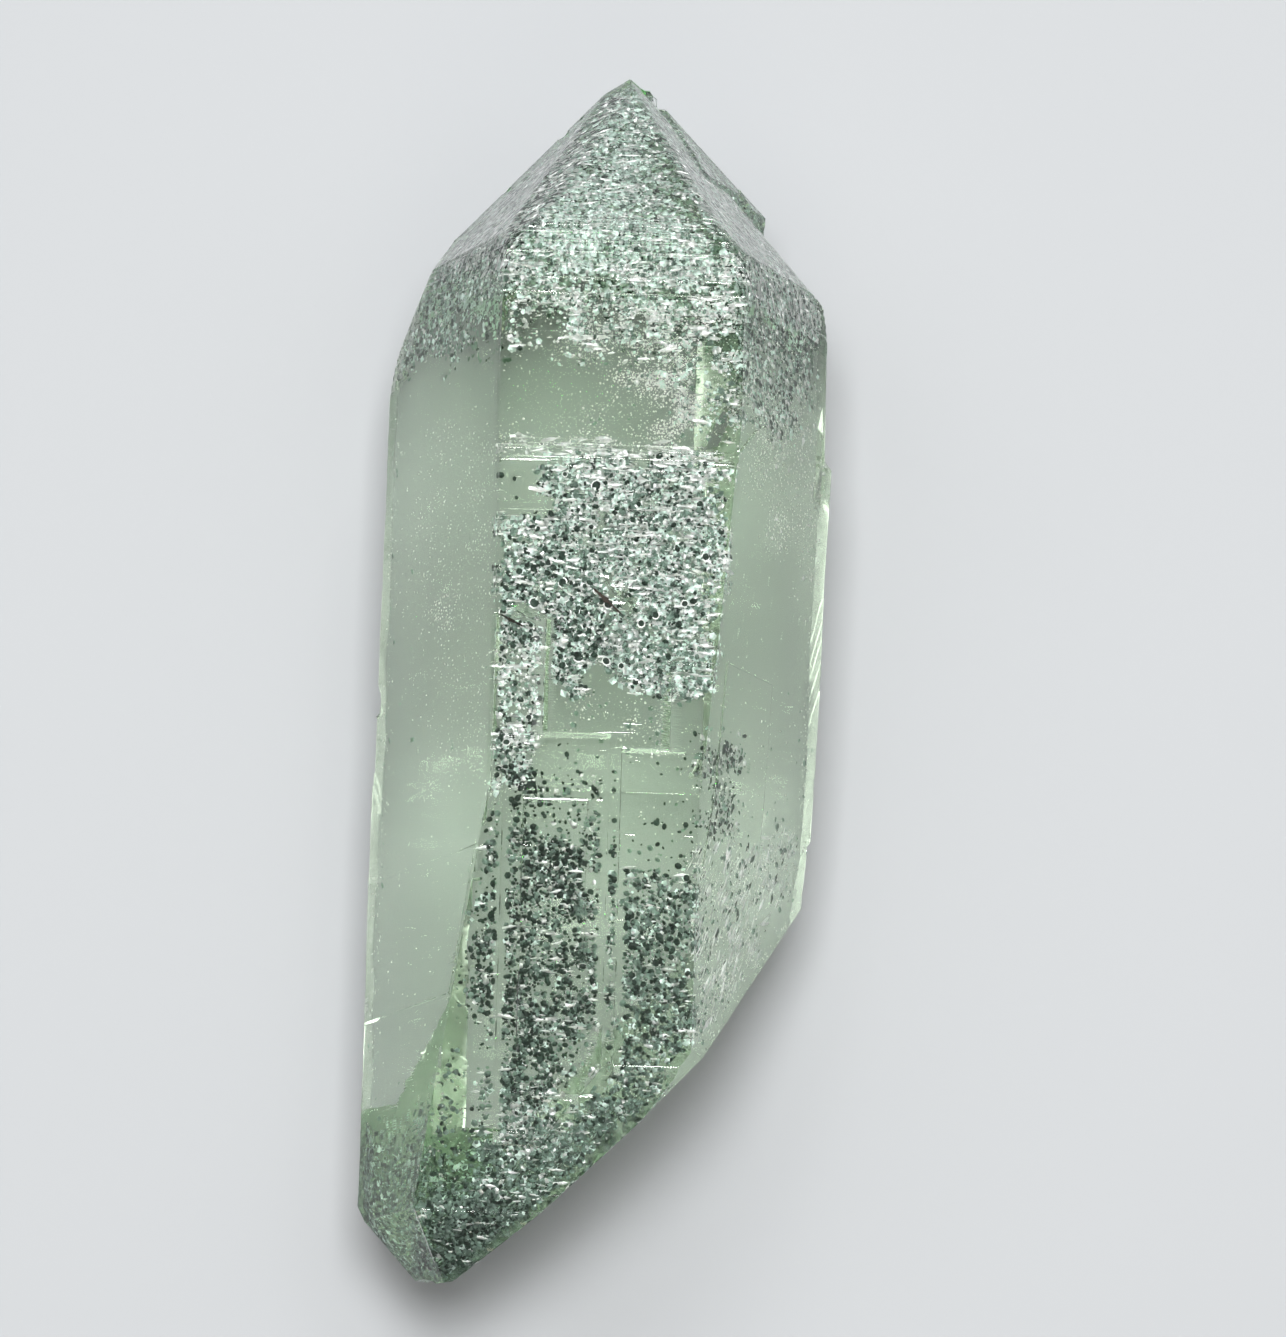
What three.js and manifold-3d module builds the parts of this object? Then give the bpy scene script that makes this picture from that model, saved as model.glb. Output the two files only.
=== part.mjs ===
// A phantom quartz crystal, doubly terminated, lying on its back prism face.
// Millimetres, +Z up. The c axis lies along +Y, with the sharp upper point at the far end.
// The crystal grew as one piece, so it is one solid. It is described as quartz is: each flat
// face is a plane with a fixed crystal angle, and only its distance differs from crystal to
// crystal. Distances and levels are measured from the tip of the upper point.

import * as THREE from "three";
import { mergeVertices } from "three/addons/utils/BufferGeometryUtils.js";
import Module from "manifold-3d";

const wasm = await Module();
wasm.setup();

// Driving dimensions
const LENGTH = 49.1; // along the c axis, tip to broken base
const STOCK = 160; // side of the cutting blocks, larger than the crystal
const MERGE = 1e-4;

// Interfacial angles of quartz: how far each kind of face leans from the c axis, in degrees
const RHOMB = 38.22; // r and z, the main faces of the points
const CORNER = 24.4; // s, which cuts a shoulder between r and z
const STEEP = 14.7; // the steep rhombohedron that tapers the lower half
const TAPER = 3.7; // slow growth taper of the right prism face
const LOW_TAPER = 7.6; // the same face towards the lower point

// Places of the prism faces round the c axis, in degrees from the front (+Z) towards +X
const FRONT = 0;
const FRONT_RIGHT = 60;
const BACK_RIGHT = 120;
const BACK = 180;
const BACK_LEFT = 240;
const FRONT_LEFT = 300;
const RIGHT = 90;
const LEFT = 270;

// One row per prism face and the faces of the two points that lean on it:
// cap and stem    distance of the prism face from the axis through the tip, above and below the ledge
// ledge           level at which the stem's growth stops under the cap
// upper, lower    distance of the rhombohedral face of the upper and lower point from the tip
// steps           how strongly the fine growth steps between upper point and prism show on it
const FACES = {
  [FRONT]: { cap: 7.3, stem: 7.42, ledge: -17.9, upper: 0, lower: 31.4, steps: 1 },
  [FRONT_RIGHT]: { cap: 7.63, stem: 7.72, ledge: -16.6, upper: -0.26, lower: 29.4, steps: 0.5 },
  [BACK_RIGHT]: { cap: 6.1, stem: 6.5, ledge: -14.1, upper: 0.42, lower: 25.95, steps: 0.7 },
  [BACK]: { cap: 7.2, stem: 7.2, ledge: -16, upper: 0, lower: 31, steps: 0.3 },
  [BACK_LEFT]: { cap: 8.1, stem: 8.1, ledge: -17.4, upper: 0.1, lower: 34.6, steps: 0.8 },
  [FRONT_LEFT]: { cap: 7.69, stem: 7.69, ledge: -17.4, upper: 0.14, lower: 34.7, steps: 0.7 },
};
const CAP_BOTTOM = 24; // the cap's own prism ends inside the stem

const RIDGE_BEVEL = 0.2; // narrow facets along the two front ridges of the point
const UPPER_CORNER = { [LEFT]: 3.2, [RIGHT]: 2.95 };

// Growth layers of the cap: each is a little slimmer and reaches a little higher
const LAYERS = [
  { inset: 0, drop: 1.5 },
  { inset: 0.05, drop: 1.14 },
  { inset: 0.1, drop: 0.84 },
  { inset: 0.17, drop: 0.57 },
  { inset: 0.25, drop: 0.35 },
  { inset: 0.35, drop: 0.18 },
  { inset: 0.48, drop: 0.06 },
  { inset: 0.66, drop: 0 },
];

// The lower half
const STEEP_START = -31.2; // level where the steep face leaves the front prism face
const RIGHT_STEEP_START = -31;
const LOWER_CORNER_RIGHT = 21.35;

const deg = THREE.MathUtils.degToRad;
const UP = new THREE.Vector3(0, 1, 0);

// The outward normal of a face at a place round the axis, leaning towards the upper point
function normal(place, lean = 0) {
  const out = new THREE.Vector3(Math.sin(deg(place)), 0, Math.cos(deg(place)));
  return out.multiplyScalar(Math.cos(deg(lean))).addScaledVector(UP, Math.sin(deg(lean)));
}

// A face as a plane, given by its distance from the tip or by a point that lies on it
function plane(place, lean, distance) {
  return { normal: normal(place, lean), distance };
}

function planeThrough(place, lean, point) {
  const n = normal(place, lean);
  return { normal: n, distance: n.dot(point) };
}

// Where a prism face at a distance meets a level along the axis
function onPrism(place, distance, level) {
  return normal(place).multiplyScalar(distance).addScaledVector(UP, level);
}

function solidOf(geometry) {
  const bare = geometry.clone();
  bare.deleteAttribute("normal");
  bare.deleteAttribute("uv");
  const merged = mergeVertices(bare, MERGE);
  return new wasm.Manifold(
    new wasm.Mesh({
      numProp: 3,
      vertProperties: merged.attributes.position.array,
      triVerts: new Uint32Array(merged.index.array),
    }),
  );
}

function geometryOf(solid) {
  const mesh = solid.getMesh();
  const geometry = new THREE.BufferGeometry();
  geometry.setAttribute("position", new THREE.BufferAttribute(mesh.vertProperties, mesh.numProp));
  geometry.setIndex(new THREE.BufferAttribute(mesh.triVerts, 1));
  return geometry;
}

// A large block whose lower face is the plane, so that taking it away cuts the facet
function beyond({ normal: n, distance }) {
  const block = new THREE.BoxGeometry(STOCK, STOCK, STOCK).translate(0, 0, STOCK / 2);
  block.applyQuaternion(new THREE.Quaternion().setFromUnitVectors(new THREE.Vector3(0, 0, 1), n));
  block.translate(n.x * distance, n.y * distance, n.z * distance);
  return solidOf(block);
}

// A growth form: everything inside all of its planes
function form(planes) {
  const stock = solidOf(new THREE.BoxGeometry(STOCK / 2, STOCK, STOCK / 2));
  return planes.reduce((solid, face) => solid.subtract(beyond(face)), stock);
}

const PLACES = [FRONT, FRONT_RIGHT, BACK_RIGHT, BACK, BACK_LEFT, FRONT_LEFT];
const base = plane(BACK, -90, LENGTH);

// The right prism face, tapering downwards from a level where it has the given distance
function tapered(lean, distance, level) {
  return planeThrough(FRONT_RIGHT, lean, onPrism(FRONT_RIGHT, distance, level));
}

// The upper point on its prism, as one of the cap's growth layers
function capLayer({ inset, drop }) {
  const prism = PLACES.map((place) => plane(place, 0, FACES[place].cap - inset * FACES[place].steps));
  const point = PLACES.map((place) => plane(place, RHOMB, FACES[place].upper - drop * FACES[place].steps));
  const corners = [LEFT, RIGHT].map((place) => plane(place, CORNER, UPPER_CORNER[place] - drop / 3));
  const foot = plane(FRONT, -90, CAP_BOTTOM);
  const inStem = tapered(-TAPER, FACES[FRONT_RIGHT].cap, FACES[FRONT_RIGHT].ledge);
  return form([...prism, ...point, ...corners, foot, inStem]);
}

// The lower body: prism faces that taper, the steep front face and the lower point
const frontSteep = planeThrough(FRONT, -STEEP, onPrism(FRONT, FACES[FRONT].stem, STEEP_START));
const rightTaper = tapered(-TAPER, FACES[FRONT_RIGHT].stem, FACES[FRONT_RIGHT].ledge);
const rightWall = rightTaper.distance / Math.cos(deg(TAPER)) + Math.tan(deg(TAPER)) * RIGHT_STEEP_START;
const rightSteep = tapered(-LOW_TAPER, rightWall, RIGHT_STEEP_START);

function stemPlanes() {
  const prism = PLACES.map((place) => plane(place, 0, FACES[place].stem));
  const ledges = PLACES.map((place) => {
    const { stem, ledge } = FACES[place];
    return planeThrough(place, RHOMB, onPrism(place, stem, ledge));
  });
  const point = PLACES.map((place) => plane(place, -RHOMB, FACES[place].lower));
  const corner = plane(RIGHT, -CORNER, LOWER_CORNER_RIGHT);
  return [...prism, ...ledges, frontSteep, rightTaper, rightSteep, ...point, corner, base];
}

// The lower body with the faces of one place moved out a little, which is as far as a layer reaches
function grownStem(place, proud) {
  const out = normal(place);
  const reach = ({ normal: n }) => (n.dot(out) > 0.75 ? proud : 0);
  return form(stemPlanes().map((face) => ({ ...face, distance: face.distance + reach(face) })));
}

// A plateau is a thin growth layer that stands proud of one prism face and of the faces that
// carry it on. Its flanks run along the c axis and its ends are parallel to the rhombohedra.
// Left and right are measured across the face, seen from outside with the upper point up.
// The lower end lies at the level bottom where the face has the height foot.
const PLATEAU_ROOT = 6;
function plateau({ place, wall, left, right, top, bottom, proud, flank = 70, foot = wall, corner }) {
  const height = wall + proud;
  const across = (x) => new THREE.Vector3(x, 0, height);
  const local = [
    plane(BACK, 0, PLATEAU_ROOT - height),
    planeThrough(flank, 0, across(right)),
    planeThrough(-flank, 0, across(left)),
    planeThrough(FRONT, RHOMB, onPrism(FRONT, height, top)),
    planeThrough(FRONT, -RHOMB, onPrism(FRONT, foot + proud, bottom)),
  ];
  if (corner) local.push(planeThrough(FRONT_RIGHT, -RHOMB, new THREE.Vector3(...corner)));
  const turned = local.map(({ normal: n, distance }) => ({
    normal: n.clone().applyAxisAngle(UP, deg(place)),
    distance,
  }));
  return form(turned).intersect(grownStem(place, proud));
}

// The height of the steep front face at a level along the axis
const steepHeight = (level) => (frontSteep.distance - frontSteep.normal.y * level) / frontSteep.normal.z;

// Plateaus of the front. Those that run down over the steep face have upright flanks
const FRONT_LAYER = 0.09; // the widest plateau, which doubles the ledge under the cap
const FRONT_WALL = FACES[FRONT].stem;
const FRONT_PLATEAUS = [
  { left: -6, right: 6, top: -18.35, bottom: -60, proud: FRONT_LAYER, flank: RIGHT },
  { left: -4.45, right: -2.55, top: -24.6, bottom: -31.1, proud: 0.24 },
  {
    left: -4.0,
    right: 0.03,
    top: -29.2,
    bottom: -43.6,
    proud: 0.3,
    flank: RIGHT,
    foot: steepHeight(-43.6),
    corner: [0.03, -41.2, steepHeight(-41.2)],
  },
  {
    left: -3.2,
    right: -0.75,
    top: -31.8,
    bottom: -42.2,
    proud: 0.4,
    flank: RIGHT,
    foot: steepHeight(-42.2),
  },
  {
    left: 0.38,
    right: 6,
    top: -29.7,
    bottom: -41.1,
    proud: 0.26,
    flank: RIGHT,
    foot: steepHeight(-41.1),
  },
  { left: 2.15, right: 6, top: -26.2, bottom: -30.9, proud: 0.17, flank: RIGHT },
];

// Growth layers of the other faces. wall is the distance of the face they stand on, and each is
// as wide as its face unless it has a left and a right flank of its own
const LEFT_WALL = FACES[FRONT_LEFT].stem;
const BACK_LEFT_WALL = FACES[BACK_LEFT].stem;
const BACK_RIGHT_WALL = FACES[BACK_RIGHT].stem;
const FULL_WIDTH = { left: -9, right: 9 };
const LEDGE = 0.035; // height of one of the fine ledges on the back right face
const BACK_RIGHT_LEDGES = [-21.6, -22.5, -23.2, -24.1, -25.2];
const SIDE_LAYERS = [
  { place: FRONT_LEFT, wall: LEFT_WALL, top: -33.2, bottom: -38.6, proud: 0.06 },
  { place: BACK_LEFT, wall: BACK_LEFT_WALL, top: -28.8, bottom: -38.2, proud: 0.06 },
  { place: BACK_LEFT, wall: BACK_LEFT_WALL, top: -29.3, bottom: -36.1, proud: 0.14 },
  { place: FRONT_RIGHT, wall: rightWall, left: -3.9, right: -0.1, top: -25.5, bottom: -33.6, proud: 0.05 },
  ...BACK_RIGHT_LEDGES.map((top, k) => ({
    place: BACK_RIGHT,
    wall: BACK_RIGHT_WALL,
    top,
    bottom: -27.5 - k * 0.9,
    proud: LEDGE * (k + 1),
  })),
];

// Narrow facets on the two front ridges of the upper point
function ridgeFacet(place) {
  const n = normal(FRONT, RHOMB).add(normal(place, RHOMB)).normalize();
  return { normal: n, distance: -RIDGE_BEVEL };
}

// Shoulders: thicker layers on the right ridge of the upper point. Each starts at a level of the
// ridge, widens down both faces and ends on short prism faces
const SHOULDERS = [
  { proud: 0.1, from: -0.5, reach: 1.06 },
  { proud: 0.09, from: -1.25, reach: 4.75 },
  { proud: 0.12, from: -4.5, reach: 5.45 },
];
const SHOULDER_FOOT = 9;
const RIGHT_FACES = [FRONT_RIGHT, BACK_RIGHT];
const ridgeSpread = FACES[FRONT_RIGHT].upper - FACES[BACK_RIGHT].upper;
const ridgeHeight = ridgeSpread / (2 * Math.cos(deg(RHOMB)) * Math.cos(deg(FRONT_RIGHT)));

function shoulder({ proud, from, reach }) {
  const start = new THREE.Vector3(0, from, ridgeHeight);
  const end = new THREE.Vector3(reach, 0, ridgeHeight);
  const raised = RIGHT_FACES.map((place) => plane(place, RHOMB, FACES[place].upper + proud));
  const ends = RIGHT_FACES.map((place) => planeThrough(place, 0, end));
  const flanks = [FRONT, BACK].map((place) => planeThrough(place, RHOMB, start));
  return form([...raised, ...ends, ...flanks, plane(LEFT, 0, 0), plane(BACK, -90, SHOULDER_FOOT)]);
}

// A conchoidal chip: a coarse ball taken out of an edge
function chip({ at, size, turn, detail = 1 }) {
  const ball = new THREE.IcosahedronGeometry(1, detail).scale(...size);
  ball.applyMatrix4(new THREE.Matrix4().makeRotationFromEuler(new THREE.Euler(...turn)));
  return solidOf(ball.translate(...at));
}

const CHIPS = [
  // notch in the right ridge of the point
  { at: [5.7, -6.4, -0.3], size: [0.45, 0.4, 0.8], turn: [0.3, 0.2, 0.5] },
  // nicks beside the tip and in the left ridge
  { at: [-2.75, -2.6, 0.3], size: [0.3, 0.5, 0.5], turn: [0.5, 0.3, 0.1] },
  { at: [-5.05, -4.85, 0.2], size: [0.26, 0.55, 0.5], turn: [0.2, 0.8, 0.3] },
  // nicks along the prism edges
  { at: [8.3, -15.6, 1.4], size: [0.28, 0.7, 0.45], turn: [0.1, 0.4, 0.2] },
  { at: [-9.28, -25.6, -0.4], size: [0.28, 1.1, 0.5], turn: [0.2, 0.1, 0.3] },
  { at: [-4.75, -37.4, 6.2], size: [0.3, 0.7, 0.3], turn: [0.4, 0.2, 0.1] },
  { at: [2.6, -43.1, 0.4], size: [0.5, 0.4, 0.8], turn: [0.3, 0.3, 0.3] },
  // bruised corner and dished break of the base
  { at: [-9.3, -47.2, -0.8], size: [0.45, 1.0, 0.9], turn: [0.6, 0.2, 0.9] },
  { at: [-3.9, -49.4, 0.4], size: [2.7, 0.7, 2.3], turn: [0.12, 0.5, -0.14], detail: 3 },
  { at: [-6.7, -49.2, -0.5], size: [2.0, 0.66, 1.9], turn: [-0.1, 0.2, 0.2], detail: 3 },
  { at: [-5.2, -49.5, 2.2], size: [1.5, 0.8, 1.0], turn: [0.5, 0.1, 0.1], detail: 2 },
];

// Small cuts that leave the tip and the ridge to its right blunt
const TIP_CUTS = [
  { normal: new THREE.Vector3(0.15, 0.98, 0.1).normalize(), distance: -0.34 },
  { normal: new THREE.Vector3(0.75, 0.62, 0.2).normalize(), distance: -0.14 },
  { normal: new THREE.Vector3(-0.55, 0.8, 0.25).normalize(), distance: -0.2 },
  { normal: new THREE.Vector3(0.1, 0.72, 0.7).normalize(), distance: -0.16 },
  { normal: new THREE.Vector3(-0.1, 0.75, -0.65).normalize(), distance: -0.18 },
];

// Short open cracks in the front face: a long, thin, shallow wedge
function crack({ from, to, width, deep }) {
  const run = new THREE.Vector3().subVectors(to, from);
  const wedge = new THREE.OctahedronGeometry(1).scale(run.length() / 2, width / 2, deep);
  wedge.rotateZ(Math.atan2(run.y, run.x));
  const middle = from.clone().add(to).multiplyScalar(0.5);
  return solidOf(wedge.translate(middle.x, middle.y, middle.z));
}

const CRACKS = [
  {
    from: new THREE.Vector3(-0.52, -22.9, FRONT_WALL + FRONT_LAYER),
    to: new THREE.Vector3(0.83, -24.1, FRONT_WALL + FRONT_LAYER),
    width: 0.3,
    deep: 0.4,
  },
  {
    from: new THREE.Vector3(-3.95, -24.1, FRONT_WALL + FRONT_LAYER),
    to: new THREE.Vector3(-2.75, -24.7, FRONT_WALL + FRONT_LAYER),
    width: 0.22,
    deep: 0.3,
  },
];

// Growth pits: small triangular hollows, as etched rhombohedral faces have, in rows down a face
const PIT = { count: 7, size: 0.34, deep: 0.12 };
function pitsOn(place) {
  const n = normal(place, RHOMB);
  const turn = new THREE.Quaternion().setFromUnitVectors(new THREE.Vector3(0, 0, 1), n);
  return Array.from({ length: PIT.count }, (_, k) => {
    const level = -2.2 - k * 0.95;
    const side = Math.sin(k * 2.4 + place) * 0.32 * -level;
    const out = -level * Math.tan(deg(RHOMB));
    const spot = normal(place).multiplyScalar(out).addScaledVector(UP, level);
    spot.addScaledVector(normal(place + 90), side).addScaledVector(n, FACES[place].upper);
    const size = PIT.size * (1 + 0.5 * Math.cos(k * 1.7));
    const pit = new THREE.CylinderGeometry(size, 0.02, PIT.deep * 2, 3).rotateX(Math.PI / 2);
    return solidOf(pit.applyQuaternion(turn).translate(spot.x, spot.y, spot.z));
  });
}

function quartz() {
  const grown = [
    ...LAYERS.map(capLayer),
    form(stemPlanes()),
    ...FRONT_PLATEAUS.map((spec) => plateau({ place: FRONT, wall: FRONT_WALL, ...spec })),
    ...SIDE_LAYERS.map((spec) => plateau({ ...FULL_WIDTH, ...spec })),
  ];
  const whole = grown.reduce((a, b) => a.add(b));
  const facets = [ridgeFacet(FRONT_LEFT), ridgeFacet(FRONT_RIGHT), ...TIP_CUTS].map(beyond);
  const pits = [...pitsOn(BACK_RIGHT), ...pitsOn(FRONT_LEFT)];
  const etched = [...facets, ...pits].reduce((a, b) => a.subtract(b), whole);
  const shouldered = SHOULDERS.map(shoulder).reduce((a, b) => a.add(b), etched);
  return [...CHIPS.map(chip), ...CRACKS.map(crack)].reduce((a, b) => a.subtract(b), shouldered);
}

const quartzMaterial = new THREE.MeshPhysicalMaterial({
  color: 0xcfe0d0,
  roughness: 0.05,
  metalness: 0,
  transmission: 1,
  ior: 1.544,
  flatShading: true,
});

const geometry = geometryOf(quartz());
geometry.computeBoundingBox();
const { min, max } = geometry.boundingBox;
geometry.translate(-(min.x + max.x) / 2, -(min.y + max.y) / 2, -min.z);
geometry.computeVertexNormals();

const crystal = new THREE.Mesh(geometry, quartzMaterial);
crystal.name = "quartz_crystal";

const phantomQuartz = new THREE.Group();
phantomQuartz.add(crystal);

export default phantomQuartz;
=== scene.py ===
"""Phantom quartz crystal: a clear pale green prism with chlorite grains on growth surfaces under its skin.

The row frame holds: metres, the long axis along Y with the sharp point at +Y, the widest prism face up.
"""

import math
from typing import NamedTuple

import bmesh
import bpy
import numpy as np
from mathutils import Matrix, Vector, noise
from mathutils.bvhtree import BVHTree


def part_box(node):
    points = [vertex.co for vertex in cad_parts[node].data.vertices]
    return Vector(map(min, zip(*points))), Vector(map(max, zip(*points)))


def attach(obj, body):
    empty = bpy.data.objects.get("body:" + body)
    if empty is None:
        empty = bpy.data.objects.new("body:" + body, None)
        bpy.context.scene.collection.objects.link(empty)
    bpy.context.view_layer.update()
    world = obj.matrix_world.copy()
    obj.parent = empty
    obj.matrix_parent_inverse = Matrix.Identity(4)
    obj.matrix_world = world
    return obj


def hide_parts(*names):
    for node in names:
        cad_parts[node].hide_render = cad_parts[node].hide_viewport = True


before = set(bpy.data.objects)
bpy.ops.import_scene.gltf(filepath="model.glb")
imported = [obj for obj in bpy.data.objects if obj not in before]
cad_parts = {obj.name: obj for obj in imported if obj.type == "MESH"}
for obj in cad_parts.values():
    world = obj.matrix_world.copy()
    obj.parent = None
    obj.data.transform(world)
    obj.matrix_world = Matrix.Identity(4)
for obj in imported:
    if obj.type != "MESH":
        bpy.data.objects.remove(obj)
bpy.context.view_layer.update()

bl_info = {
    "name": "Phantom quartz crystal",
    "version": (1, 0, 0),
    "blender": (4, 5, 0),
    "location": "View3D > Sidebar > Phantom quartz",
    "description": "Clear quartz point with chlorite grains on its phantom growth surfaces",
    "category": "Add Mesh",
}

CRYSTAL = "quartz_crystal"
BODY = "root"
LOWEST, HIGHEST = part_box(CRYSTAL)
MM = 0.001
PER_SQUARE_MM = 1 / MM**2
MIDDLE_FROM_TIP = 23.94  # where the places below are measured from, in mm under the sharp tip
MIDDLE = HIGHEST.y - MIDDLE_FROM_TIP * MM


class Zone(NamedTuple):
    """A patch of grains: its outline in mm, seen from above, and its grains of each kind per square mm."""

    side: str
    outline: tuple
    grains: dict
    soft: float = 0.3  # width in mm of the rim in which the patch thins out
    ragged: float = 0.4  # how far in mm the rim wanders from the outline
    clumped: float = 0.4  # how strongly the grains gather in clumps
    aim: float = 0  # direction of the long grains, in degrees from the crystal's width


KINDS = ("dark", "green", "mint", "silver", "dust", "veil", "rimmed", "streak", "sliver")

TIP_FRONT = ((0.3, 23.5), (-0.5, 21.5), (-2.1, 17.6), (-3.7, 14.3), (-3.9, 13.4), (4.5, 13.7), (4.2, 13.9),
             (3.2, 15.6), (1.7, 19.1), (0.8, 22.2))
TIP_LEFT = ((0.0, 23.5), (-2.2, 20.7), (-4.5, 18.6), (-6.9, 15.6), (-7.3, 14.6), (-4.3, 13.8), (-3.6, 14.5),
            (-2.1, 17.6), (-0.5, 21.5))
TIP_RIGHT = ((1.1, 23.3), (2.9, 21.3), (5.9, 17.3), (8.3, 13.7), (8.4, 12.6), (5.1, 12.6), (4.8, 13.9),
             (3.8, 15.8), (2.3, 19.2))
DENSE = ((-2.4, 6.3), (4.7, 6.0), (4.6, 3.7), (4.3, -1.0), (4.1, -2.9), (3.3, -3.1), (2.2, -2.6), (1.5, -3.4),
         (0.7, -3.0), (-0.1, -2.1), (-1.0, -3.1), (-2.1, -2.0), (-3.9, -1.3), (-4.1, 3.6), (-2.3, 3.7))
COLUMN_LEFT = ((-4.0, -9.2), (-3.6, -8.6), (0.6, -8.5), (0.5, -13.0), (0.3, -14.5), (-0.5, -17.7),
               (-2.8, -18.0), (-3.3, -16.7), (-4.1, -14.5), (-4.1, -11.0))
COLUMN_RIGHT = ((0.8, -10.0), (4.0, -10.1), (3.9, -16.1), (2.4, -17.2), (1.0, -17.3), (0.7, -13.7))
LOWER_POINT = ((-3.5, -17.2), (-0.5, -18.1), (0.8, -17.5), (3.7, -17.1), (0.5, -20.2), (-3.0, -25.0),
               (-6.4, -25.0), (-6.4, -21.9), (-4.6, -21.2), (-4.2, -18.8))

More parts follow.
